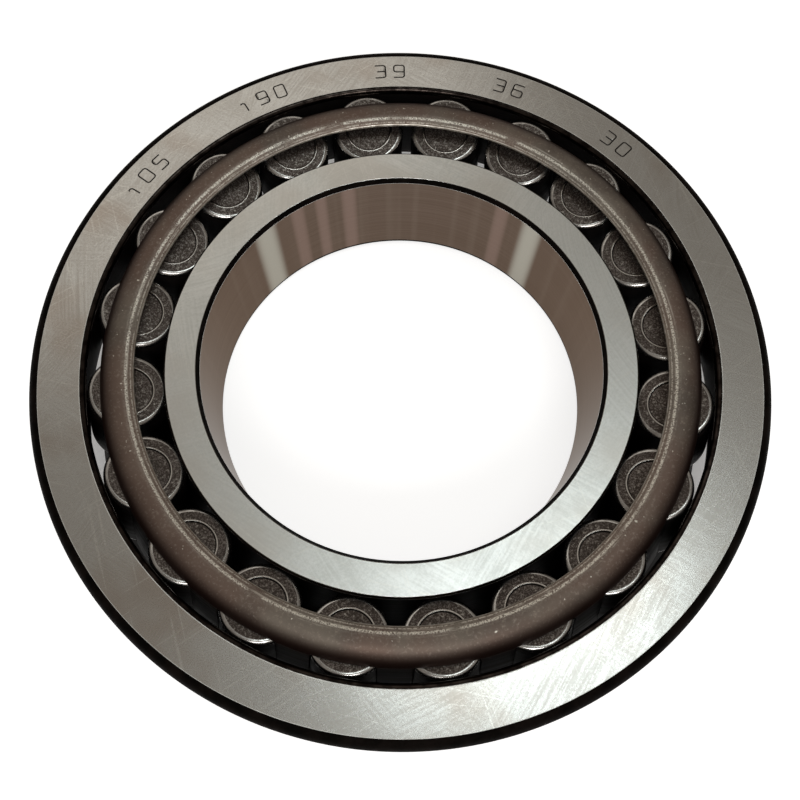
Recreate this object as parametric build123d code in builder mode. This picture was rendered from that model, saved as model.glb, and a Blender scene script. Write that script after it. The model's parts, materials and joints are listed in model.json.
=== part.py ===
from build123d import *
from math import cos, degrees, radians, sin, tan
import os

# A single-row tapered roller bearing, standard size 105 x 190 x 39 mm.
# Origin: centre of the inner ring's back face, with +Z along the bearing's axis towards the small ends of
# the rollers. Both raceways and all the rollers are cones that share one apex on the axis, so that the
# rollers roll on both rings without slip.

# --- driving dimensions (mm and degrees) ----------------------------------------------------------------
# Distances such as small_end_distance are measured from the apex along a roller's own axis.
bore_radius = 105 / 2
outside_radius = 190 / 2
bearing_width = 39
inner_ring_width = 36
outer_ring_width = 30

apex_height = 314.5
cup_angle = 16.17
cone_angle = 12.27

roller_count = 20
first_roller_azimuth = 10.04
roller_length = 27
small_end_distance = 288.3
raceway_clearance = 0.12

# --- outer ring -----------------------------------------------------------------------------------------
cup_back_corner = 2.8
cup_back_bore_corner = 1.3
cup_front_corner = 1.0

# --- inner ring -----------------------------------------------------------------------------------------
large_rib_radius = 71.35
large_rib_gap = 0.25
small_rib_radius = 61.7
small_rib_gap = 0.5
rib_edge_break = 0.6
bore_back_corner = 3.0
bore_front_break_radial = 0.9
bore_front_break_axial = 1.4
undercut_radius = 0.7

# --- rollers --------------------------------------------------------------------------------------------
small_end_corner = 1.2
large_end_corner = 1.2
recess_radius = 6.5
recess_depth = 0.35
recess_slope = 0.4
crown_height = 0.19
dimple_radius = 4.0
dimple_depth = 0.8

# --- cage, pressed from steel sheet ---------------------------------------------------------------------
sheet_thickness = 2.5
wall_offset = 6.73
bend_radius = 6.0
bend_lead = -0.2
bend_sweep = 116
large_end_overhang = 7.0
rim_flare = 1.2
rim_flare_start = 1.2
rim_flare_end = 3.7
cage_edge_round = 0.8
pocket_side_clearance = 0.25
pocket_end_clearance = 0.4

# --- size marking: plain numerals for the bearing's own dimensions, engraved on the outer ring ----------
marking_groups = ("105", "190", "39", "36", "30")
marking_radius = 87.0
marking_depth = 0.2
marking_stroke = 0.4
marking_start_azimuth = 149.5
digit_height = 4.2
digit_width = 3.0
digit_pitch = 5.4
group_gap = 29.5

# The strokes of each numeral, as corners of a box one unit wide and one unit high.
DIGIT_STROKES = {
    "0": [[(0, 0.5), (0, 1), (1, 1), (1, 0.5)], [(0, 0.5), (0, 0), (1, 0), (1, 0.5)]],
    "1": [[(0.2, 0.75), (0.5, 1)], [(0.5, 1), (0.5, 0)]],
    "3": [[(0, 1), (1, 1), (1, 0), (0, 0)], [(0.2, 0.5), (1, 0.5)]],
    "5": [[(1, 1), (0, 1), (0, 0.55), (1, 0.55), (1, 0), (0, 0)]],
    "6": [[(1, 1), (0, 1), (0, 0), (1, 0), (1, 0.55), (0, 0.55)]],
    "9": [[(0, 0), (1, 0), (1, 1), (0, 1), (0, 0.45), (1, 0.45)]],
}

# --- worked out from the above --------------------------------------------------------------------------
roller_tilt = (cup_angle + cone_angle) / 2
roller_half_angle = (cup_angle - cone_angle) / 2
roller_azimuths = [first_roller_azimuth + i * 360 / roller_count for i in range(roller_count)]
large_end_distance = small_end_distance + roller_length
cup_front_height = bearing_width - outer_ring_width
APEX = (0, 0, apex_height)


def roller_radius(distance):
    """A roller's radius at a distance from the apex along its axis."""
    return distance * tan(radians(roller_half_angle))


def cup_raceway_radius(height):
    """The outer raceway's radius at a height, with the clearance that keeps it off the rollers."""
    return (apex_height - height) * tan(radians(cup_angle)) + raceway_clearance / cos(radians(cup_angle))


def from_roller_axis(distance, offset):
    """The point at a distance from the apex along a roller's axis and an offset outwards across it, as
    (radius, height)."""
    tilt = radians(roller_tilt)
    radius = distance * sin(tilt) + offset * cos(tilt)
    height = apex_height - distance * cos(tilt) + offset * sin(tilt)
    return (radius, height)


def cone_raceway_point(distance):
    """The point of the inner raceway at a distance from the apex along a roller's axis, as (radius,
    height), with the clearance that keeps the raceway off the rollers."""
    clearance = raceway_clearance / cos(radians(roller_half_angle))
    return from_roller_axis(distance, -roller_radius(distance) - clearance)


def rib_face_point(distance, radius):
    """The point at a radius from the bearing's axis on the plane across a roller's axis at a distance
    from the apex, as (radius, height)."""
    tilt = radians(roller_tilt)
    return from_roller_axis(distance, (radius - distance * sin(tilt)) / cos(tilt))


def roller_plane(azimuth):
    """The plane that holds the bearing's axis and one roller's axis. Its origin is the apex, X points
    outwards across the roller's axis, and Y points up along the roller's axis."""
    turn = radians(azimuth)
    tilt = radians(roller_tilt)
    outwards = (cos(tilt) * cos(turn), cos(tilt) * sin(turn), sin(tilt))
    return Plane(origin=APEX, x_dir=outwards, z_dir=(sin(turn), -cos(turn), 0))


def roller_axis(azimuth):
    """One roller's own axis, which passes through the apex."""
    return Axis(APEX, roller_plane(azimuth).y_dir)


# --- outer ring: tapered raceway inside, wide back face on top ------------------------------------------
def marking_plane(azimuth):
    """The plane of one engraved numeral on the back face, upright when read from the bearing's axis."""
    turn = radians(azimuth)
    place = (marking_radius * cos(turn), marking_radius * sin(turn), bearing_width)
    return Plane(origin=place, x_dir=(sin(turn), -cos(turn), 0), z_dir=(0, 0, 1))


def numeral(digit, azimuth):
    """One numeral of the marking, drawn with strokes of a constant width."""
    with BuildSketch(marking_plane(azimuth)) as strokes:
        for stroke in DIGIT_STROKES[digit]:
            with BuildLine():
                Polyline(*[((x - 0.5) * digit_width, (y - 0.5) * digit_height) for x, y in stroke])
            trace(line_width=marking_stroke)
    return strokes.sketch


with BuildPart() as outer_ring:
    with BuildSketch(Plane.XZ) as cup_section:
        with BuildLine():
            Polyline(
                (cup_raceway_radius(cup_front_height), cup_front_height),
                (outside_radius, cup_front_height),
                (outside_radius, bearing_width),
                (cup_raceway_radius(bearing_width), bearing_width),
                close=True,
            )
        make_face()
        fillet(cup_section.vertices().group_by(Axis.Y)[-1].sort_by(Axis.X)[0], cup_back_bore_corner)
        fillet(cup_section.vertices().group_by(Axis.Y)[-1].sort_by(Axis.X)[-1], cup_back_corner)
        chamfer(cup_section.vertices().group_by(Axis.Y)[0], cup_front_corner)
    revolve(axis=Axis.Z)
    arc_position = 0
    for group in marking_groups:
        for digit in group:
            azimuth = marking_start_azimuth - degrees(arc_position / marking_radius)
            extrude(numeral(digit, azimuth), amount=-marking_depth, mode=Mode.SUBTRACT)
            arc_position += digit_pitch
        arc_position += group_gap - digit_pitch
outer_ring.part.label = "outer_ring"

# --- inner ring: tapered raceway between a large guide rib and a small retaining rib --------------------
race_bottom = large_end_distance + large_rib_gap
race_top = small_end_distance - small_rib_gap

with BuildPart() as inner_ring:
    with BuildSketch(Plane.XZ) as cone_section:
        with BuildLine():
            Polyline(
                (bore_radius, 0),
                (large_rib_radius, 0),
                rib_face_point(race_bottom, large_rib_radius),
                cone_raceway_point(race_bottom),
                cone_raceway_point(race_top),
                rib_face_point(race_top, small_rib_radius),
                (small_rib_radius, inner_ring_width),
                (bore_radius + bore_front_break_radial, inner_ring_width),
                (bore_radius, inner_ring_width - bore_front_break_axial),
                close=True,
            )
        make_face()
        fillet(cone_section.vertices().group_by(Axis.Y)[0].sort_by(Axis.X)[0], bore_back_corner)
        chamfer(cone_section.vertices().group_by(Axis.X)[-1], rib_edge_break)
        chamfer(cone_section.vertices().group_by(Axis.Y)[-1].sort_by(Axis.X)[-1], rib_edge_break)
        with Locations(cone_raceway_point(race_bottom), cone_raceway_point(race_top)):
            Circle(undercut_radius, mode=Mode.SUBTRACT)
    revolve(axis=Axis.Z)
inner_ring.part.label = "inner_ring"


# --- cage: a cone of sheet steel with one window for each roller, turned in over the small ends ---------
def sheet_section():
    """The sheet's section in a roller's plane: the wall runs along the roller, bends over its small end, and
    flares a little into a rim below its large end."""
    bend_centre = (wall_offset - bend_radius, bend_lead - small_end_distance)
    flare_top = -(large_end_distance + rim_flare_start)
    flare_bottom = -(large_end_distance + rim_flare_end)
    rim_bottom = -(large_end_distance + large_end_overhang)
    rim_offset = wall_offset + rim_flare
    with BuildSketch(roller_plane(0)) as sheet:
        with BuildLine():
            outer_arc = CenterArc(bend_centre, bend_radius, 0, bend_sweep)
            inner_arc = CenterArc(bend_centre, bend_radius - sheet_thickness, 0, bend_sweep)
            Line(outer_arc @ 1, inner_arc @ 1)
            Polyline(
                outer_arc @ 0,
                (wall_offset, flare_top),
                (rim_offset, flare_bottom),
                (rim_offset, rim_bottom),
                (rim_offset - sheet_thickness, rim_bottom),
                (rim_offset - sheet_thickness, flare_bottom),
                (wall_offset - sheet_thickness, flare_top),
                inner_arc @ 0,
            )
        make_face()
        fillet(sheet.vertices().group_by(Axis.Y)[0], cage_edge_round)
        fillet(sheet.vertices().sort_by(Axis.X)[:2], cage_edge_round)
    return sheet.sketch


def pocket_section(azimuth):
    """Half of the room that one roller needs in the cage."""
    top = pocket_end_clearance - small_end_distance
    bottom = -(large_end_distance + crown_height + pocket_end_clearance)
    with BuildSketch(roller_plane(azimuth)) as pocket:
        with BuildLine():
            Polyline(
                (0, top),
                (roller_radius(-top) + pocket_side_clearance, top),
                (roller_radius(-bottom) + pocket_side_clearance, bottom),
                (0, bottom),
                close=True,
            )
        make_face()
    return pocket.sketch


with BuildPart() as cage:
    revolve(sheet_section(), axis=Axis.Z)
    for azimuth in roller_azimuths:
        revolve(pocket_section(azimuth), axis=roller_axis(azimuth), mode=Mode.SUBTRACT)
cage.part.label = "cage"


# --- rollers --------------------------------------------------------------------------------------------
def roller_section(azimuth):
    """Half of a roller: a shallow recess in the small end, and a dimple in the crowned large end."""
    top = -small_end_distance
    bottom = -large_end_distance
    crown = bottom - crown_height
    with BuildSketch(roller_plane(azimuth)) as half:
        with BuildLine():
            Polyline(
                (0, crown + dimple_depth),
                (0, top - recess_depth),
                (recess_radius - recess_slope, top - recess_depth),
                (recess_radius, top),
                (roller_radius(small_end_distance), top),
                (roller_radius(large_end_distance), bottom),
                (dimple_radius, crown),
                close=True,
            )
        make_face()
        fillet(half.vertices().sort_by(Axis.X)[-1], large_end_corner)
        fillet(half.vertices().group_by(Axis.Y)[-1].sort_by(Axis.X)[-1], small_end_corner)
    return half.sketch


def make_roller(azimuth, name):
    """One roller, at its place in the bearing."""
    with BuildPart() as roller:
        revolve(roller_section(azimuth), axis=roller_axis(azimuth))
    roller.part.label = name
    return roller.part


rollers = []
for index, azimuth in enumerate(roller_azimuths, start=1):
    rollers.append(make_roller(azimuth, f"roller_{index:02d}"))

# --- one file for each piece ----------------------------------------------------------------------------
os.makedirs("parts", exist_ok=True)
export_step(outer_ring.part, "parts/outer_ring.step")
export_step(inner_ring.part, "parts/inner_ring.step")
export_step(cage.part, "parts/cage.step")
for roller in rollers:
    export_step(roller, f"parts/{roller.label}.step")
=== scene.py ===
import json
import math

import bmesh
import bpy
from mathutils import Matrix, Vector


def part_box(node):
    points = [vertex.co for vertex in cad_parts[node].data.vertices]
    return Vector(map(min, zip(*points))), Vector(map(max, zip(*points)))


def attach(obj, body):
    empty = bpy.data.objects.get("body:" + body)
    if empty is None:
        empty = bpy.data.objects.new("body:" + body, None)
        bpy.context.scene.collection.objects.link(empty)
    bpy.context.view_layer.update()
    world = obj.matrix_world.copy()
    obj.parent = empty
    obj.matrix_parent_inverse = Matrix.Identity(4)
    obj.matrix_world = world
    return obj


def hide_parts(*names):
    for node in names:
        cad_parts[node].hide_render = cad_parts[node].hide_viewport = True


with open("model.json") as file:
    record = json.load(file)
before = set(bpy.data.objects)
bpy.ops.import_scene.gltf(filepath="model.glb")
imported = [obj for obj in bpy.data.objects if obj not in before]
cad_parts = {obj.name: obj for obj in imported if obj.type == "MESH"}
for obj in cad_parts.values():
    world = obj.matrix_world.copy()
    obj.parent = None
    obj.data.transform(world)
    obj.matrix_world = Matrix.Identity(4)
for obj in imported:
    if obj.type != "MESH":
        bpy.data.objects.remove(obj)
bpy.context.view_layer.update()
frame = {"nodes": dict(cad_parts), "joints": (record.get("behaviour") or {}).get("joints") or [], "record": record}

MM = 0.001

# --- sizes read from the frame --------------------------------------------------------------------------
mounts = {m["name"]: m for m in frame["record"]["mounts"]}
joints = {j["name"]: j for j in frame["joints"]}
roller_names = sorted(n for n in frame["nodes"] if n.startswith("roller_"))
cup_low, cup_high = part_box("outer_ring")
cone_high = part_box("inner_ring")[1]

OUTSIDE_R = mounts["housing_seat"]["dims"]["r_mm"] * MM
BORE_R = mounts["shaft_bore"]["dims"]["r_mm"] * MM
CUP_FRONT_Z = cup_low.z
CUP_BACK_Z = cup_high.z
CONE_FRONT_Z = cone_high.z
LARGE_RIB_R = cone_high.x

first_joint = joints[roller_names[0] + "_spin"]
axis_out = math.hypot(first_joint["axis"][0], first_joint["axis"][1])
TILT = math.atan2(axis_out, first_joint["axis"][2])
axis_r = math.hypot(first_joint["pos_m"][0], first_joint["pos_m"][1])
APEX_Z = first_joint["pos_m"][2] + axis_r / math.tan(TILT)
MID_DISTANCE = axis_r / math.sin(TILT)

# --- sizes that repeat the CAD model's ------------------------------------------------------------------
# Distances are measured from the apex along a roller's own axis.
ROLLER_LENGTH = 27 * MM
HALF_ANGLE = math.radians(1.95)
SMALL_END = MID_DISTANCE - ROLLER_LENGTH / 2
LARGE_END = MID_DISTANCE + ROLLER_LENGTH / 2
RACEWAY_GAP = 0.12 * MM
LARGE_RIB_GAP = 0.25 * MM
SMALL_RIB_GAP = 0.5 * MM
SMALL_RIB_R = 61.7 * MM
UNDERCUT = 0.7 * MM
SHEET = 2.5 * MM
CAGE_WALL = 6.73 * MM
BEND_R = 6.0 * MM
BEND_LEAD = -0.2 * MM
BEND_SWEEP = math.radians(116)
CAGE_OVERHANG = 7 * MM
RIM_FLARE = 1.2 * MM
RIM_FLARE_START = 1.2 * MM
RIM_FLARE_END = 3.7 * MM
POCKET_SIDE = 0.25 * MM
POCKET_END = 0.4 * MM
CROWN = 0.19 * MM
DIMPLE_R = 4 * MM
DIMPLE_DEPTH = 0.8 * MM
RECESS_R = 6.5 * MM
RECESS_DEPTH = 0.35 * MM
ROLLER_CORNER = 1.2 * MM
MARKING_R = 87 * MM
MARKING_STROKE = 0.4 * MM
MARKING_START = math.radians(149.5)
MARKING_GROUPS = ("105", "190", "39", "36", "30")
DIGIT_HEIGHT = 4.2 * MM
DIGIT_WIDTH = 3.0 * MM
DIGIT_PITCH = 5.4 * MM
GROUP_GAP = 29.5 * MM

# --- detail that only the visual model has --------------------------------------------------------------
# The painted highlight and painted reflection bands in the bore: azimuth and half width, in degrees.
PAINTED_HIGHLIGHT_BANDS = ((138, 5), (49, 4.5))
PAINTED_REFLECTION_BANDS = ((126, 3), (118, 2.5), (109, 3), (60, 3))
RING_STEPS = 360
ROLLER_STEPS = 96
POCKET_STEPS = 64
ARC_STEP = math.radians(9)
NEARLY_STRAIGHT = 0.01
MERGE_DISTANCE = 0.0001 * MM
TINY = 0.12 * MM
LIP_R = 0.55 * MM
BEAD = 0.06 * MM
DIGIT_ROUNDING = 0.7 * MM
# Each numeral's strokes, in a box from (0, 0) at its lower left to (1, 1) at its upper right.
DIGIT_STROKES = {
    "0": ([(0, 0.5), (0, 1), (1, 1), (1, 0), (0, 0), (0, 0.5)],),
    "1": ([(0.2, 0.75), (0.5, 1), (0.5, 0)],),
    "3": ([(0, 1), (1, 1), (1, 0), (0, 0)], [(0.2, 0.5), (1, 0.5)]),
    "5": ([(1, 1), (0, 1), (0, 0.55), (1, 0.55), (1, 0), (0, 0)],),
    "6": ([(1, 1), (0, 1), (0, 0), (1, 0), (1, 0.55), (0, 0.55)],),
    "9": ([(0, 0), (1, 0), (1, 1), (0, 1), (0, 0.45), (1, 0.45)],),
}


def from_roller_axis(distance, offset):
    """The point at a distance from the apex along a roller's axis and an offset outwards across it, as
    (radius, height)."""
    radius = distance * math.sin(TILT) + offset * math.cos(TILT)
    height = APEX_Z - distance * math.cos(TILT) + offset * math.sin(TILT)
    return (radius, height)


def roller_radius(distance):
    """A roller's radius at a distance from the apex along its axis."""
    return distance * math.tan(HALF_ANGLE)


def cup_raceway_radius(height):
    """The outer raceway's radius at a height."""
    angle = TILT + HALF_ANGLE
    return (APEX_Z - height) * math.tan(angle) + RACEWAY_GAP / math.cos(angle)


def cone_raceway_point(distance):
    """The point of the inner raceway at a distance from the apex along a roller's axis."""
    return from_roller_axis(distance, -roller_radius(distance) - RACEWAY_GAP / math.cos(HALF_ANGLE))


def rib_face_point(distance, radius):
    """The point at a radius from the bearing's axis on the plane across a roller's axis."""
    return from_roller_axis(distance, (radius - distance * math.sin(TILT)) / math.cos(TILT))


BEND_CENTRE = (CAGE_WALL - BEND_R, BEND_LEAD - SMALL_END)
CREST_R = from_roller_axis(-BEND_CENTRE[1], BEND_CENTRE[0])[0]


# --- mesh tools -----------------------------------------------------------------------------------------
def rounded_corner(before, corner, after, rounding):
    """The points that replace a corner by an arc tangent to both of its sides."""
    to_before = (before - corner).normalized()
    to_after = (after - corner).normalized()
    opening = to_before.angle(to_after)
    if rounding <= 0 or opening > math.pi - NEARLY_STRAIGHT:
        return [corner]
    centre = corner + (to_before + to_after).normalized() * rounding / math.sin(opening / 2)
    start = corner + to_before * rounding / math.tan(opening / 2) - centre
    turn = math.copysign(math.pi - opening, to_before.x * to_after.y - to_before.y * to_after.x)
    steps = max(3, round(abs(turn) / ARC_STEP * min(1, rounding / MM)))
    return [centre + Matrix.Rotation(-turn * i / steps, 2) @ start for i in range(steps + 1)]


def rounded_path(corners, closed):
    """Points and finishes along a path. Each corner is (point, rounding, finish of its rounding, finish of
    the side after it)."""
    points = []
    finishes = []
    for i, (place, rounding, arc_finish, side_finish) in enumerate(corners):
        at_end = not closed and i in (0, len(corners) - 1)
        before = Vector(corners[i - 1][0])
        after = Vector(corners[(i + 1) % len(corners)][0])
        arc = [Vector(place)] if at_end else rounded_corner(before, Vector(place), after, rounding)
        points += arc
        finishes += [arc_finish] * (len(arc) - 1) + [side_finish]
    return points, finishes


def turned(name, corners, steps, materials, closed=True, place=Matrix.Identity(4)):
    """A mesh object turned round the Z axis from its section, then put in place."""
    points, finishes = rounded_path(corners, closed)
    mesh_tool = bmesh.new()
    rings = []
    for step in range(steps):
        turn = 2 * math.pi * step / steps
        ring = [(p.x * math.cos(turn), p.x * math.sin(turn), p.y) for p in points]
        rings.append([mesh_tool.verts.new(corner) for corner in ring])
    sides = len(points) if closed else len(points) - 1
    for step in range(steps):
        here = rings[step]
        there = rings[(step + 1) % steps]
        for i in range(sides):
            j = (i + 1) % len(points)
            face = mesh_tool.faces.new((here[i], here[j], there[j], there[i]))
            face.material_index = finishes[i]
            face.smooth = True
    bmesh.ops.remove_doubles(mesh_tool, verts=mesh_tool.verts, dist=MERGE_DISTANCE)
    bmesh.ops.recalc_face_normals(mesh_tool, faces=mesh_tool.faces)
    mesh_tool.transform(place)
    mesh = bpy.data.meshes.new(name)
    mesh_tool.to_mesh(mesh)
    mesh_tool.free()
    for material in materials:
        mesh.materials.append(material)
    piece = bpy.data.objects.new(name, mesh)
    bpy.context.scene.collection.objects.link(piece)
    return piece


def joined(name, pieces):
    """One mesh object from several, at the first one's place."""
    mesh_tool = bmesh.new()
    for piece in pieces:
        mesh_tool.from_mesh(piece.data)
    mesh = pieces[0].data.copy()
    mesh_tool.to_mesh(mesh)
    mesh_tool.free()
    for piece in pieces:
        bpy.data.objects.remove(piece)
    whole = bpy.data.objects.new(name, mesh)
    bpy.context.scene.collection.objects.link(whole)
    return whole


def apply_modifier(piece, modifier):
    """Makes a modifier's result the piece's own mesh."""
    with bpy.context.temp_override(object=piece, active_object=piece, selected_objects=[piece]):
        bpy.ops.object.modifier_apply(modifier=modifier.name)


def cut(piece, cutter):
    """Takes the cutter away from the piece, and leaves the cutter's material on the cut faces."""
    boolean = piece.modifiers.new("cut", "BOOLEAN")
    boolean.operation = "DIFFERENCE"
    boolean.solver = "EXACT"
    boolean.use_self = True
    boolean.material_mode = "TRANSFER"
    boolean.object = cutter
    apply_modifier(piece, boolean)
    bpy.data.objects.remove(cutter)


def flatten_shading(piece):
    """Keeps large faces flat in their shading, so that only the rounded edges bend the light."""
    weighted = piece.modifiers.new("weighted", "WEIGHTED_NORMAL")
    weighted.keep_sharp = False
    weighted.weight = 90
    apply_modifier(piece, weighted)


# --- materials ------------------------------------------------------------------------------------------
class Finish:
    """A material under construction: short calls that add nodes and wire them up."""

    def __init__(self, name, **constants):
        self.material = bpy.data.materials.new(name)
        self.material.use_nodes = True
        self.nodes = self.material.node_tree.nodes
        self.links = self.material.node_tree.links
        self.shader = self.nodes["Principled BSDF"]
        for socket, value in constants.items():
            self.shader.inputs[socket.replace("_", " ")].default_value = value
        self.position = self.nodes.new("ShaderNodeTexCoord").outputs["Object"]

    def wire(self, value, socket):
        """Puts a number, a colour or another node's output on a socket."""
        if isinstance(value, bpy.types.NodeSocket):
            self.links.new(value, socket)
        else:
            socket.default_value = value

    def math(self, operation, first, second=0.5):
        node = self.nodes.new("ShaderNodeMath")
        node.operation = operation
        self.wire(first, node.inputs[0])
        self.wire(second, node.inputs[1])
        return node.outputs[0]

    def stretched(self, scale, turn=0.0):
        """The position on the object, turned about Z and then scaled along each axis."""
        turned_node = self.nodes.new("ShaderNodeMapping")
        turned_node.inputs["Rotation"].default_value = (0, 0, turn)
        self.links.new(self.position, turned_node.inputs["Vector"])
        scaled = self.nodes.new("ShaderNodeVectorMath")
        scaled.operation = "MULTIPLY"
        self.links.new(turned_node.outputs[0], scaled.inputs[0])
        scaled.inputs[1].default_value = scale
        return scaled.outputs[0]

    def parts(self, vector):
        """A vector's X, Y and Z, as sockets by name."""
        split = self.nodes.new("ShaderNodeSeparateXYZ")
        self.links.new(vector, split.inputs[0])
        return split.outputs

    def distance_from(self, centre):
        """How far the surface is from a vertical line through centre."""
        offset = self.nodes.new("ShaderNodeVectorMath")
        offset.operation = "SUBTRACT"
        self.links.new(self.position, offset.inputs[0])
        offset.inputs[1].default_value = (centre[0], centre[1], 0)
        parts = self.parts(offset.outputs[0])
        across = self.math("MULTIPLY", parts["X"], parts["X"])
        along = self.math("MULTIPLY", parts["Y"], parts["Y"])
        return self.math("SQRT", self.math("ADD", across, along))

    def arcs(self, centre, density, length):
        """Coordinates that run quickly outwards from centre and slowly round it, for curved scratches."""
        distance = self.distance_from(centre)
        joined_node = self.nodes.new("ShaderNodeCombineXYZ")
        self.links.new(self.math("MULTIPLY", distance, density), joined_node.inputs["X"])
        parts = self.parts(self.position)
        along = self.math("ADD", parts["X"], self.math("MULTIPLY", parts["Y"], 0.7))
        self.links.new(self.math("MULTIPLY", along, length), joined_node.inputs["Y"])
        return joined_node.outputs[0]

    def noise(self, vector, scale=1.0, detail=2.0, rough=0.5):
        node = self.nodes.new("ShaderNodeTexNoise")
        self.wire(vector, node.inputs["Vector"])
        node.inputs["Scale"].default_value = scale
        node.inputs["Detail"].default_value = detail
        node.inputs["Roughness"].default_value = rough
        return node.outputs["Fac"]

    def cells(self, vector, scale):
        node = self.nodes.new("ShaderNodeTexVoronoi")
        self.wire(vector, node.inputs["Vector"])
        node.inputs["Scale"].default_value = scale
        return node.outputs["Distance"]

    def fit(self, value, low, high, to_low=0.0, to_high=1.0):
        """The value taken from one range to another with soft ends."""
        node = self.nodes.new("ShaderNodeMapRange")
        node.interpolation_type = "SMOOTHSTEP"
        self.wire(value, node.inputs["Value"])
        node.inputs["From Min"].default_value = low
        node.inputs["From Max"].default_value = high
        node.inputs["To Min"].default_value = to_low
        node.inputs["To Max"].default_value = to_high
        return node.outputs["Result"]

    def mixed(self, amount, first, second):
        """One colour blended into another. Inputs 6 and 7 and output 2 are the Mix node's colours."""
        node = self.nodes.new("ShaderNodeMix")
        node.data_type = "RGBA"
        self.wire(amount, node.inputs["Factor"])
        self.wire(first, node.inputs[6])
        self.wire(second, node.inputs[7])
        return node.outputs[2]

    def finish(self, colour, roughness, height, strength, depth):
        """Wires the colour, the roughness and the relief to the shader, and returns the material."""
        self.wire(colour, self.shader.inputs["Base Color"])
        self.wire(roughness, self.shader.inputs["Roughness"])
        bump = self.nodes.new("ShaderNodeBump")
        bump.inputs["Strength"].default_value = strength
        bump.inputs["Distance"].default_value = depth
        self.links.new(height, bump.inputs["Height"])
        self.links.new(bump.outputs["Normal"], self.shader.inputs["Normal"])
        return self.material


def colour(red, green, blue):
    return (red, green, blue, 1)


def scratches(finish, across, along, turn, rarity):
    """Straight thin scratches in one direction: rarity from 0.6, many, to 0.75, few."""
    field = finish.noise(finish.stretched((across, along, 1), turn), detail=1)
    return finish.fit(field, rarity, rarity + 0.06)


def ground_face(name, dark, light, tarnish, rough):
    """Face ground flat: a fine grain, patches of brushed lines that cross each other, some curved and some
    straight, thin scratches, and patches of tarnish."""
    steel = Finish(name, Metallic=1.0)
    curved = steel.noise(steel.arcs((0.13, 0.05), 1700, 70), detail=3)
    crossing = steel.noise(steel.arcs((-0.09, 0.12), 1500, 60), detail=3)
    straight = steel.noise(steel.stretched((1700, 100, 1), 0.5), detail=3)
    slanted = steel.noise(steel.stretched((1500, 90, 1), -1.1), detail=3)
    patch = steel.fit(steel.noise(steel.position, 38, 2), 0.35, 0.65)
    region = steel.fit(steel.noise(steel.position, 22, 1), 0.38, 0.62)
    lines = steel.mixed(region, steel.mixed(patch, curved, crossing), steel.mixed(patch, straight, slanted))
    grain = steel.noise(steel.position, 1900, 3, 0.6)
    brushed = steel.fit(steel.math("ADD", steel.math("MULTIPLY", lines, 0.6),
                                   steel.math("MULTIPLY", grain, 0.4)), 0.38, 0.62)
    cloud = steel.fit(steel.noise(steel.position, 55, 3, 0.6), 0.3, 0.7)
    shade = steel.math("ADD", steel.math("MULTIPLY", brushed, 0.65), steel.math("MULTIPLY", cloud, 0.35))
    tone = steel.mixed(shade, dark, light)
    stained = steel.fit(steel.noise(steel.position, 31, 3, 0.55), 0.5, 0.68, 0, 0.7)
    tone = steel.mixed(stained, tone, tarnish)
    rising = scratches(steel, 1500, 34, 0.95, 0.64)
    falling = scratches(steel, 1400, 26, -0.35, 0.65)
    steep = scratches(steel, 1600, 18, 1.75, 0.67)
    arcs = steel.fit(steel.noise(steel.arcs((0.02, 0.03), 1900, 22), detail=1), 0.66, 0.72)
    scored = steel.math("MAXIMUM", rising, falling)
    scored = steel.math("MAXIMUM", scored, steel.math("MAXIMUM", steep, arcs))
    scored = steel.math("MULTIPLY", scored, steel.fit(grain, 0.4, 0.6, 0.16, 0.54))
    tone = steel.mixed(scored, tone, colour(0.93, 0.93, 0.88))
    roughness = steel.fit(shade, 0.1, 0.9, rough + 0.025, rough - 0.02)
    return steel.finish(tone, roughness, steel.math("SUBTRACT", brushed, scored), 0.06, 0.01 * MM)


def ground_round(name):
    """Cylinder ground while it turned: fine marks that run round the axis."""
    steel = Finish(name, Metallic=1.0, Anisotropic=0.5)
    marks = steel.noise(steel.stretched((25, 25, 5200)), detail=3)
    bands = steel.noise(steel.stretched((12, 12, 700)), detail=2)
    cloud = steel.noise(steel.position, 45, 3)
    shade = steel.fit(steel.math("ADD", steel.math("MULTIPLY", marks, 0.5),
                                 steel.math("MULTIPLY", bands, 0.5)), 0.35, 0.65)
    tone = steel.mixed(shade, colour(0.22, 0.205, 0.19), colour(0.32, 0.30, 0.28))
    tone = steel.mixed(steel.fit(cloud, 0.55, 0.75, 0, 0.3), tone, colour(0.19, 0.155, 0.13))
    add_turning_direction(steel)
    return steel.finish(tone, steel.fit(shade, 0, 1, 0.24, 0.34), marks, 0.08, 0.01 * MM)


def add_turning_direction(steel):
    """Stretches the gloss across marks that run round the Z axis."""
    tangent = steel.nodes.new("ShaderNodeTangent")
    tangent.direction_type = "RADIAL"
    tangent.axis = "Z"
    steel.links.new(tangent.outputs[0], steel.shader.inputs["Tangent"])


def shade_black_steel(name, density):
    """Steel painted nearly black as shade, with fine marks that run round the axis."""
    shaded_steel = Finish(name, Metallic=0.0, Specular_IOR_Level=0.05)
    marks = shaded_steel.noise(shaded_steel.stretched((25, 25, density)), detail=3)
    cloud = shaded_steel.noise(shaded_steel.position, 60, 3)
    tone = shaded_steel.mixed(shaded_steel.fit(marks, 0.35, 0.65), colour(0.005, 0.004, 0.004), colour(0.014, 0.010, 0.009))
    tone = shaded_steel.mixed(shaded_steel.fit(cloud, 0.5, 0.75, 0, 0.5), tone, colour(0.024, 0.014, 0.011))
    return shaded_steel.finish(tone, shaded_steel.fit(marks, 0.3, 0.7, 0.45, 0.6), marks, 0.08, 0.01 * MM)


def band_at(steel, azimuth, half_width):
    """A soft band along the axis at one azimuth of a cylinder about it."""
    parts = steel.parts(steel.position)
    turn = math.radians(azimuth)
    outwards = steel.math("MULTIPLY", parts["X"], math.cos(turn) / BORE_R)
    sideways = steel.math("MULTIPLY", parts["Y"], math.sin(turn) / BORE_R)
    towards = steel.math("ADD", outwards, sideways)
    return steel.fit(towards, math.cos(math.radians(half_width)), 1.0)


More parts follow.
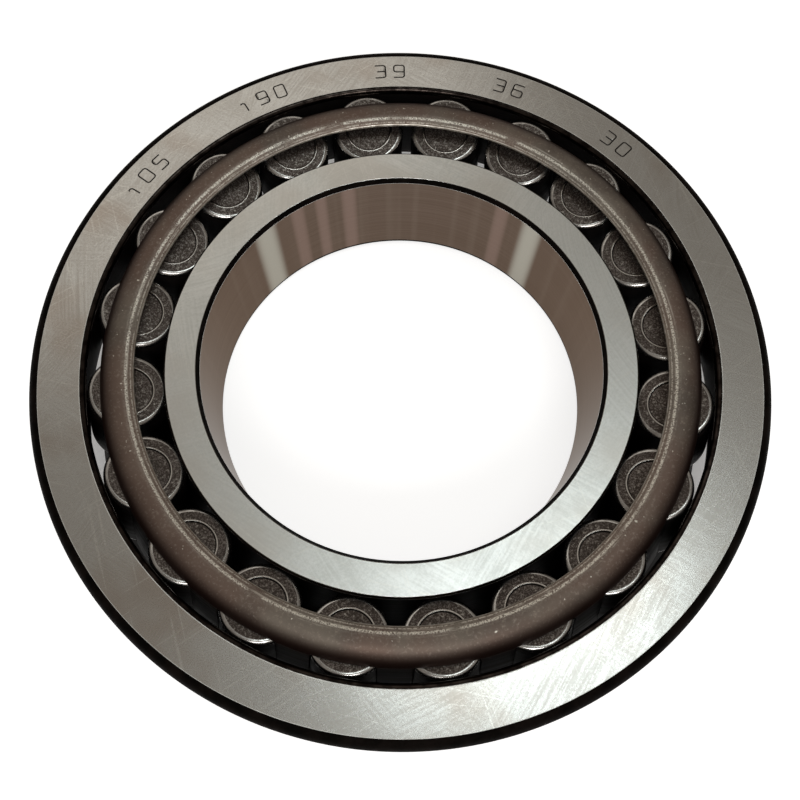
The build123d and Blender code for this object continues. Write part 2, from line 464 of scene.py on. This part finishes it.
def bore_wall():
    """Bore ground smooth: warm grey-brown, with soft pale bands of painted highlight and rosy bands of painted
    reflection along the axis.
    """
    steel = Finish("bore_wall", Metallic=1.0, Anisotropic=0.6, Specular_Tint=colour(0.61, 0.56, 0.52))
    fine = steel.fit(steel.noise(steel.stretched((1, 1, 0.02)), 260, 2), 0.5, 0.75)
    marks = steel.noise(steel.stretched((25, 25, 4200)), detail=3)
    ground = steel.fit(marks, 0.35, 0.65)
    tone = steel.mixed(ground, colour(0.100, 0.072, 0.056), colour(0.122, 0.090, 0.072))
    tone = steel.mixed(steel.math("MULTIPLY", fine, 0.25), tone, colour(0.17, 0.135, 0.11))
    # Painted highlights and painted reflections: bands at listed azimuths along the bore.
    for azimuth, half_width in PAINTED_HIGHLIGHT_BANDS:
        painted_highlight = steel.math("MULTIPLY", band_at(steel, azimuth, half_width), 0.6)
        tone = steel.mixed(painted_highlight, tone, colour(0.50, 0.50, 0.44))
    for azimuth, half_width in PAINTED_REFLECTION_BANDS:
        painted_reflection = steel.math("MULTIPLY", band_at(steel, azimuth, half_width), 0.45)
        tone = steel.mixed(painted_reflection, tone, colour(0.27, 0.19, 0.165))
    add_turning_direction(steel)
    return steel.finish(tone, 0.3, marks, 0.06, 0.01 * MM)


def dark_corner():
    """Rounded corner left as it was hardened: nearly black scale with a brown cast."""
    scale = Finish("dark_corner", Metallic=0.0, Specular_IOR_Level=0.03)
    patches = scale.noise(scale.position, 160, 4, 0.6)
    grain = scale.noise(scale.position, 1600, 3, 0.6)
    worn = scale.fit(patches, 0.35, 0.7)
    tone = scale.mixed(worn, colour(0.002, 0.0015, 0.001), colour(0.009, 0.006, 0.005))
    roughness = scale.fit(grain, 0.3, 0.7, 0.5, 0.7)
    return scale.finish(tone, roughness, grain, 0.2, 0.02 * MM)


def polished_edge(name, dark, light, rough):
    """Narrow smooth edge, between a dark and a light tone where its wear is uneven."""
    steel = Finish(name, Metallic=1.0)
    wear = steel.noise(steel.position, 420, 3, 0.6)
    shine = steel.fit(wear, 0.35, 0.65)
    tone = steel.mixed(shine, dark, light)
    roughness = steel.fit(wear, 0.3, 0.7, rough + 0.05, rough - 0.05)
    return steel.finish(tone, roughness, wear, 0.05, 0.01 * MM)


def ring_zone(finish, radius, inner, outer, softness):
    """1 between two radii, fading to 0 over softness on both sides."""
    rise = finish.fit(radius, inner - softness, inner)
    fall = finish.fit(radius, outer + softness, outer)
    return finish.math("MULTIPLY", rise, fall)


def weakened(finish, mask, share):
    """A mask weakened to a share of its strength."""
    return finish.math("MULTIPLY", mask, share)


def cage_sheet():
    """Pressed sheet steel with a satin brown oxide, nicked along its crest; bright lines along its crest and lip
    are partly rubbed wear and partly painted highlight, and outside the crest the sheet is darkened as painted
    shade.
    """
    sheet = Finish("cage_sheet", Metallic=0.8)
    radius = sheet.distance_from((0, 0))
    blotches = sheet.noise(sheet.position, 70, 4, 0.6)
    grain = sheet.noise(sheet.position, 1500, 3, 0.6)
    rust = sheet.noise(sheet.position, 28, 3, 0.6)
    olive = sheet.fit(blotches, 0.35, 0.65)
    tone = sheet.mixed(olive, colour(0.158, 0.130, 0.110), colour(0.245, 0.209, 0.174))
    tone = sheet.mixed(sheet.fit(rust, 0.42, 0.60, 0, 0.7), tone, colour(0.202, 0.134, 0.108))
    tone = sheet.mixed(sheet.fit(grain, 0.5, 0.8, 0, 0.5), tone, colour(0.46, 0.39, 0.33))
    # Painted shade: outside the crest, where the sheet turns down and away, its colour is darkened to nearly
    # black.
    outer = sheet.fit(radius, CREST_R + 1 * MM, CREST_R + 5 * MM)
    tone = sheet.mixed(outer, tone, colour(0.035, 0.018, 0.014))
    patches = sheet.fit(sheet.noise(sheet.position, 120, 2), 0.26, 0.46)
    sparkle = sheet.fit(sheet.noise(sheet.position, 2600, 3, 0.7), 0.38, 0.56)
    # Bright lines along the crest and the lip, and a band of rubbed sparkle beside them: partly rubbed wear,
    # partly painted highlight.
    crest_wear_and_highlight = ring_zone(sheet, radius, CREST_R - 2.05 * MM, CREST_R - 1.75 * MM, 0.4 * MM)
    inner_wear_and_highlight = ring_zone(sheet, radius, CREST_R - 3.0 * MM, CREST_R - 2.95 * MM, 0.25 * MM)
    rub_and_sheen_zone = ring_zone(sheet, radius, CREST_R - 3.2 * MM, CREST_R - 1.4 * MM, 0.9 * MM)
    lines = sheet.math("MAXIMUM", crest_wear_and_highlight, weakened(sheet, inner_wear_and_highlight, 0.8))
    lines = sheet.math("MULTIPLY", lines, sheet.math("MULTIPLY", patches, sparkle))
    streaks = sheet.fit(sheet.noise(sheet.arcs((0, 0), 2400, 130), detail=2), 0.57, 0.70)
    soft_rub = sheet.math("MAXIMUM", weakened(sheet, sparkle, 0.12), weakened(sheet, streaks, 0.5))
    lines = sheet.math("MAXIMUM", lines, sheet.math("MULTIPLY", rub_and_sheen_zone, soft_rub))
    nicks = sheet.fit(sheet.noise(sheet.position, 900, 2), 0.70, 0.76)
    near_crest = ring_zone(sheet, radius, CREST_R - 2.5 * MM, CREST_R + 1 * MM, 2 * MM)
    marks = sheet.math("MAXIMUM", lines, sheet.math("MULTIPLY", nicks, near_crest))
    tone = sheet.mixed(weakened(sheet, marks, 0.9), tone, colour(0.95, 0.90, 0.80))
    satin = sheet.fit(blotches, 0.3, 0.7, 0.48, 0.58)
    roughness = sheet.math("SUBTRACT", satin, weakened(sheet, marks, 0.1))
    return sheet.finish(tone, roughness, sheet.math("ADD", grain, nicks), 0.25, 0.03 * MM)


def roller_end():
    """Roller end with a fine granular, sparkling dark finish."""
    steel = Finish("roller_end", Metallic=0.9)
    grains = steel.cells(steel.position, 2600)
    clumps = steel.noise(steel.position, 1500, 4, 0.7)
    cloud = steel.noise(steel.position, 160, 2)
    tone = steel.mixed(steel.fit(cloud, 0.3, 0.7), colour(0.145, 0.120, 0.110), colour(0.245, 0.208, 0.190))
    tone = steel.mixed(steel.fit(grains, 0.2, 0.6), tone, colour(0.07, 0.056, 0.048))
    tone = steel.mixed(steel.fit(clumps, 0.52, 0.74), tone, colour(0.55, 0.51, 0.46))
    relief = steel.math("SUBTRACT", clumps, grains)
    roughness = steel.fit(clumps, 0.35, 0.7, 0.5, 0.34)
    return steel.finish(tone, roughness, relief, 0.4, 0.04 * MM)


def engraving_floor():
    """Bottom of the engraved strokes: dark and slightly rough."""
    steel = Finish("engraving", Metallic=0.8)
    grain = steel.noise(steel.position, 1800, 3)
    tone = steel.mixed(grain, colour(0.008, 0.006, 0.005), colour(0.04, 0.032, 0.028))
    return steel.finish(tone, steel.fit(grain, 0.3, 0.7, 0.4, 0.6), grain, 0.2, 0.02 * MM)


# --- outer ring -----------------------------------------------------------------------------------------
def stroke_tube(stroke, azimuth, material):
    """A closed tube along one stroke of a numeral, which stands upright when read from the axis."""
    outwards = Vector((math.cos(azimuth), math.sin(azimuth), 0))
    onwards = Vector((math.sin(azimuth), -math.cos(azimuth), 0))
    origin = outwards * MARKING_R + Vector((0, 0, CUP_BACK_Z))
    corners = []
    for x, y in stroke:
        corners.append((((x - 0.5) * DIGIT_WIDTH, (y - 0.5) * DIGIT_HEIGHT), DIGIT_ROUNDING, 0, 0))
    closed = stroke[0] == stroke[-1]
    if closed:
        corners.pop()
    points = rounded_path(corners, closed)[0]
    line = bpy.data.curves.new("stroke", "CURVE")
    line.dimensions = "3D"
    line.bevel_depth = MARKING_STROKE / 2
    line.bevel_resolution = 3
    line.use_fill_caps = True
    spline = line.splines.new("POLY")
    spline.points.add(len(points) - 1)
    for knot, point in zip(spline.points, points):
        knot.co = (*(origin + onwards * point.x + outwards * point.y), 1)
    spline.use_cyclic_u = closed
    curve = bpy.data.objects.new("stroke", line)
    bpy.context.scene.collection.objects.link(curve)
    bpy.context.view_layer.update()
    tube = bpy.data.objects.new("stroke_tube", bpy.data.meshes.new_from_object(curve))
    bpy.data.objects.remove(curve)
    tube.data.materials.clear()
    tube.data.materials.append(material)
    bpy.context.scene.collection.objects.link(tube)
    return tube


def marking_tubes(material):
    """The tubes that engrave the size numerals on the outer ring's back face."""
    tubes = []
    along = 0
    for group in MARKING_GROUPS:
        for digit in group:
            for stroke in DIGIT_STROKES[digit]:
                tubes.append(stroke_tube(stroke, MARKING_START - along / MARKING_R, material))
            along += DIGIT_PITCH
        along += GROUP_GAP - DIGIT_PITCH
    return tubes


def outer_ring():
    """The ring with the outer raceway, its back face up, engraved with the bearing's sizes."""
    face, round_ground, corner, edge, inner_edge, engraving, track = range(7)
    materials = [
        ground_face("cup_face", colour(0.60, 0.58, 0.545), colour(0.80, 0.81, 0.79),
                    colour(0.54, 0.47, 0.41), 0.27),
        ground_round("cup_round"),
        dark_corner(),
        polished_edge("cup_edge", colour(0.80, 0.80, 0.77), colour(0.98, 0.98, 0.95), 0.5),
        # Painted shade: the rounding of the cup's inner edge, next to the rollers, is coloured nearly black.
        polished_edge("cup_inner_edge_painted_shade", colour(0.012, 0.009, 0.008), colour(0.05, 0.04, 0.035), 0.21),
        engraving_floor(),
        # Painted shade: the outer raceway between the rollers is coloured nearly black.
        shade_black_steel("cup_raceway", 3800),
    ]
    back = 2.8 * MM
    back_rounding = back * 0.98
    front = 1.0 * MM
    inner_rounding = 1.3 * MM
    rounding_start = cup_raceway_radius(CUP_BACK_Z) + inner_rounding / math.tan((math.pi / 2 - TILT) / 2)
    front_r = cup_raceway_radius(CUP_FRONT_Z)
    corners = [
        ((front_r + front, CUP_FRONT_Z), TINY, edge, face),
        ((OUTSIDE_R - front, CUP_FRONT_Z), TINY, edge, corner),
        ((OUTSIDE_R, CUP_FRONT_Z + front), TINY, edge, round_ground),
        ((OUTSIDE_R, CUP_BACK_Z - back), 0, corner, corner),
        ((OUTSIDE_R, CUP_BACK_Z), back_rounding, corner, corner),
        ((OUTSIDE_R - back, CUP_BACK_Z), 0, edge, edge),
        ((OUTSIDE_R - back - TINY, CUP_BACK_Z), 0, edge, face),
        ((rounding_start + 2 * TINY, CUP_BACK_Z), 0, edge, edge),
        ((cup_raceway_radius(CUP_BACK_Z), CUP_BACK_Z), inner_rounding, inner_edge, track),
        ((cup_raceway_radius(CUP_FRONT_Z + front), CUP_FRONT_Z + front), TINY, edge, corner),
    ]
    ring = turned("outer_ring_fine", corners, RING_STEPS, materials)
    cut(ring, joined("marking", marking_tubes(materials[engraving])))
    return ring


# --- inner ring -----------------------------------------------------------------------------------------
def inner_ring():
    """The ring with the bore and the inner raceway between its two ribs."""
    face, round_ground, corner, edge, bore, track = range(6)
    materials = [
        ground_face("cone_face", colour(0.76, 0.78, 0.75), colour(0.96, 0.98, 0.96),
                    colour(0.78, 0.76, 0.71), 0.36),
        ground_round("cone_round"),
        dark_corner(),
        polished_edge("cone_edge", colour(0.6, 0.6, 0.58), colour(0.88, 0.88, 0.85), 0.21),
        bore_wall(),
        # Painted shade: the inner raceway between the rollers is coloured nearly black.
        shade_black_steel("cone_raceway", 3400),
    ]
    race_bottom = LARGE_END + LARGE_RIB_GAP
    race_top = SMALL_END - SMALL_RIB_GAP
    rib_break = 0.6 * MM
    rib_edge = 0.3 * MM
    bore_rounding = 3.0 * MM
    chamfer_across = 0.9 * MM
    chamfer_down = 1.4 * MM
    corners = [
        ((BORE_R, 0), bore_rounding, corner, face),
        ((LARGE_RIB_R, 0), rib_break, edge, round_ground),
        (rib_face_point(race_bottom, LARGE_RIB_R), rib_edge, edge, track),
        (cone_raceway_point(race_bottom), UNDERCUT, corner, track),
        (cone_raceway_point(race_top), UNDERCUT, corner, track),
        (rib_face_point(race_top, SMALL_RIB_R), rib_edge, track, track),
        ((SMALL_RIB_R, CONE_FRONT_Z - rib_break), TINY, edge, corner),
        ((SMALL_RIB_R - rib_break, CONE_FRONT_Z), TINY, edge, face),
        ((BORE_R + chamfer_across, CONE_FRONT_Z), TINY, edge, corner),
        ((BORE_R, CONE_FRONT_Z - chamfer_down), TINY, edge, bore),
    ]
    return turned("inner_ring_fine", corners, RING_STEPS, materials)


# --- cage -----------------------------------------------------------------------------------------------
def bend_points(radius, start, end, steps, finish):
    """Section corners along the cage's bend, with the finish of the sides after them."""
    corners = []
    for i in range(steps + 1):
        turn = start + (end - start) * i / steps
        across = BEND_CENTRE[0] + radius * math.cos(turn)
        along = BEND_CENTRE[1] + radius * math.sin(turn)
        corners.append((from_roller_axis(-along, across), 0, finish, finish))
    return corners


def roller_place(name):
    """Where a roller sits: its middle, with X outwards across its axis and Z up along its axis."""
    joint = joints[name + "_spin"]
    up = Vector(joint["axis"]).normalized()
    middle = Vector(joint["pos_m"])
    round_axis = up.cross(Vector((middle.x, middle.y, 0))).normalized()
    outwards = round_axis.cross(up)
    turn = Matrix((outwards, round_axis, up)).transposed().to_4x4()
    return Matrix.Translation(middle) @ turn


def pocket(name, material):
    """The room that one roller needs in the cage."""
    top = ROLLER_LENGTH / 2 + POCKET_END
    bottom = -ROLLER_LENGTH / 2 - CROWN - POCKET_END
    rounding = 0.3 * MM
    corners = [
        ((0, top), 0, 0, 0),
        ((roller_radius(MID_DISTANCE - top) + POCKET_SIDE, top), rounding, 0, 0),
        ((roller_radius(MID_DISTANCE - bottom) + POCKET_SIDE, bottom), rounding, 0, 0),
        ((0, bottom), 0, 0, 0),
    ]
    place = roller_place(name)
    return turned("pocket_" + name, corners, POCKET_STEPS, [material], closed=False, place=place)


def cage():
    """The cone of sheet steel that keeps the rollers apart: turned in over their small ends, and flared a
    little into a rim below their large ends."""
    sheet = cage_sheet()
    lip = polished_edge("cage_lip", colour(0.55, 0.50, 0.44), colour(0.95, 0.91, 0.84), 0.4)
    # Painted shade: the cage's inner side, lower outer wall, rim and pocket sides are coloured nearly black.
    wall = shade_black_steel("cage_wall", 900)
    ring_finish, lip_finish, wall_finish = range(3)
    rim_end = LARGE_END + CAGE_OVERHANG
    flare_start = LARGE_END + RIM_FLARE_START
    flare_end = LARGE_END + RIM_FLARE_END
    rim_offset = CAGE_WALL + RIM_FLARE
    flare_rounding = 1.5 * MM
    rim_rounding = 0.8 * MM
    outer_bend = bend_points(BEND_R, 0, BEND_SWEEP - math.radians(8), 16, ring_finish)
    inner_bend = bend_points(BEND_R - SHEET, BEND_SWEEP - math.radians(16), 0, 10, wall_finish)
    lip_outside = bend_points(BEND_R, BEND_SWEEP, BEND_SWEEP, 1, lip_finish)[0][0]
    lip_inside = bend_points(BEND_R - SHEET, BEND_SWEEP, BEND_SWEEP, 1, lip_finish)[0][0]
    corners = [
        (from_roller_axis(flare_start, CAGE_WALL - SHEET), flare_rounding, wall_finish, wall_finish),
        (from_roller_axis(flare_end, rim_offset - SHEET), flare_rounding, wall_finish, wall_finish),
        (from_roller_axis(rim_end, rim_offset - SHEET), rim_rounding, wall_finish, wall_finish),
        (from_roller_axis(rim_end, rim_offset), rim_rounding, wall_finish, wall_finish),
        (from_roller_axis(flare_end, rim_offset), flare_rounding, wall_finish, wall_finish),
        (from_roller_axis(flare_start, CAGE_WALL), flare_rounding, wall_finish, wall_finish),
        *outer_bend,
        (lip_outside, LIP_R, lip_finish, ring_finish),
        (lip_inside, LIP_R, lip_finish, wall_finish),
        *inner_bend,
    ]
    whole = turned("cage_fine", corners, RING_STEPS, [sheet, lip, wall])
    cut(whole, joined("pockets", [pocket(name, wall) for name in roller_names]))
    return whole


# --- rollers --------------------------------------------------------------------------------------------
def roller(name, materials):
    """One roller: a ringed recess in the small end, and a dimple in the crowned large end."""
    end, side, edge, shade, bead = range(5)
    top = ROLLER_LENGTH / 2
    bottom = -ROLLER_LENGTH / 2
    floor = top - RECESS_DEPTH
    groove_start = RECESS_R - 0.55 * MM
    groove_end = RECESS_R - 0.4 * MM
    groove_depth = 0.08 * MM
    bead_start = RECESS_R - 0.25 * MM
    bead_end = RECESS_R + 0.08 * MM
    bead_foot = RECESS_R + 0.2 * MM
    bead_rounding = 0.1 * MM
    foot_rounding = 0.05 * MM
    dimple_rounding = 0.3 * MM
    corners = [
        ((0, floor), 0, end, end),
        # Painted shade: the groove and both sides of the bead round the recess take the dark engraving material.
        ((groove_start, floor), 0, shade, shade),
        ((groove_end, floor - groove_depth), 0, shade, shade),
        ((bead_start, top + BEAD), bead_rounding, bead, bead),
        ((bead_end, top + BEAD), bead_rounding, bead, shade),
        ((bead_foot, top), foot_rounding, end, end),
        ((roller_radius(SMALL_END), top), ROLLER_CORNER, edge, side),
        ((roller_radius(LARGE_END), bottom), ROLLER_CORNER, edge, side),
        ((DIMPLE_R, bottom - CROWN), dimple_rounding, edge, end),
        ((0, bottom - CROWN + DIMPLE_DEPTH), 0, end, end),
    ]
    return turned(name + "_fine", corners, ROLLER_STEPS, materials, closed=False, place=roller_place(name))


# --- the pieces, each in its node's place ---------------------------------------------------------------
def stand_in(piece, node):
    """Finishes a piece's shading and lets it stand for the CAD node of the same body."""
    flatten_shading(piece)
    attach(piece, node)
    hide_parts(node)


stand_in(outer_ring(), "outer_ring")
stand_in(inner_ring(), "inner_ring")
stand_in(cage(), "cage")
roller_materials = [
    roller_end(),
    # Painted shade: the roller sides are coloured nearly black.
    shade_black_steel("roller_side", 700),
    polished_edge("roller_edge", colour(0.46, 0.44, 0.42), colour(0.72, 0.71, 0.69), 0.25),
    # Painted shade in the rollers' recess groove and on the sides of the bead, using the engraved strokes' dark
    # material.
    engraving_floor(),
    polished_edge("roller_bead", colour(0.62, 0.58, 0.54), colour(0.90, 0.87, 0.83), 0.21),
]
for roller_name in roller_names:
    stand_in(roller(roller_name, roller_materials), roller_name)


# --- floor, light and camera ----------------------------------------------------------------------------
FLOOR_REACH = 6
FLOOR_GLOW = 0.76
SHADED_GLOW = 0.24
SHADE_START = BORE_R + 4 * MM
SHADE_END = OUTSIDE_R - 1 * MM
SHADE_SOFTNESS = 4 * MM
CAMERA_PLACE = (0, -0.07954, 0.23786)
CAMERA_TILT = math.radians(18.47)
CAMERA_LEAN = math.radians(0.02)
CAMERA_TURN = math.radians(2.40)
CAMERA_SENSOR = 36
CAMERA_LENS = 37.6
def pale_floor():
    """A wide, plain, nearly white floor, with a painted shadow under the bearing where it glows less. It lies just
    below the inner ring's back face, so that the two don't coincide."""
    mesh_tool = bmesh.new()
    bmesh.ops.create_grid(mesh_tool, x_segments=1, y_segments=1, size=FLOOR_REACH)
    mesh = bpy.data.meshes.new("floor")
    mesh_tool.to_mesh(mesh)
    mesh_tool.free()
    white = colour(1, 1, 1)
    plain = Finish("floor", Base_Color=colour(0.86, 0.86, 0.86), Roughness=0.9, Emission_Color=white)
    # Painted shadow: the floor's glow is dimmed in a ring under the bearing.
    shade = ring_zone(plain, plain.distance_from((0, 0)), SHADE_START, SHADE_END, SHADE_SOFTNESS)
    glow = plain.fit(shade, 0, 1, FLOOR_GLOW, SHADED_GLOW)
    plain.wire(glow, plain.shader.inputs["Emission Strength"])
    mesh.materials.append(plain.material)
    floor = bpy.data.objects.new("floor", mesh)
    floor.location.z = -TINY
    bpy.context.scene.collection.objects.link(floor)


def soft_light(name, place, aim, width, depth, power, tint):
    """A rectangular light that looks at aim."""
    lamp = bpy.data.lights.new(name, "AREA")
    lamp.shape = "RECTANGLE"
    lamp.size = width
    lamp.size_y = depth
    lamp.energy = power
    lamp.color = tint
    holder = bpy.data.objects.new(name, lamp)
    holder.location = place
    holder.rotation_euler = (Vector(aim) - Vector(place)).to_track_quat("-Z", "Y").to_euler()
    bpy.context.scene.collection.objects.link(holder)


def surroundings():
    """Pale behind the object, and dim and warm in its reflections."""
    world = bpy.data.worlds.new("surroundings")
    bpy.context.scene.world = world
    world.use_nodes = True
    nodes = world.node_tree.nodes
    links = world.node_tree.links
    background = nodes["Background"]
    background.inputs["Color"].default_value = colour(1.0, 0.90, 0.79)
    background.inputs["Strength"].default_value = 0.2
    backdrop = nodes.new("ShaderNodeBackground")
    backdrop.inputs["Color"].default_value = colour(0.96, 0.96, 0.96)
    backdrop.inputs["Strength"].default_value = 1.0
    path = nodes.new("ShaderNodeLightPath")
    choice = nodes.new("ShaderNodeMixShader")
    links.new(path.outputs["Is Camera Ray"], choice.inputs["Fac"])
    links.new(background.outputs[0], choice.inputs[1])
    links.new(backdrop.outputs[0], choice.inputs[2])
    links.new(choice.outputs[0], nodes["World Output"].inputs["Surface"])


def camera():
    """The photograph's viewpoint, found by fitting the ring edges and roller places."""
    lens = bpy.data.cameras.new("camera")
    lens.sensor_width = CAMERA_SENSOR
    lens.lens = CAMERA_LENS
    lens.clip_start = 0.01
    holder = bpy.data.objects.new("camera", lens)
    tilt = Matrix.Rotation(CAMERA_TILT, 4, "X")
    turn = Matrix.Rotation(CAMERA_LEAN, 4, "Y") @ Matrix.Rotation(CAMERA_TURN, 4, "Z")
    holder.matrix_world = Matrix.Translation(CAMERA_PLACE) @ tilt @ turn
    bpy.context.scene.collection.objects.link(holder)
    bpy.context.scene.camera = holder


pale_floor()
soft_light("key", (0.18, 0.02, 1.0), (0, 0, 0), 0.26, 0.38, 0.88, (0.92, 1.0, 1.0))
soft_light("front", (0.08, -0.75, 0.85), (0, 0, 0.03), 0.5, 0.28, 3.0, (1.0, 0.99, 0.97))
soft_light("back", (-0.45, 1.0, 1.1), (0, 0, 0), 1.2, 0.9, 1.4, (1.0, 0.94, 0.86))
surroundings()
camera()
bpy.context.scene.view_settings.view_transform = "Standard"
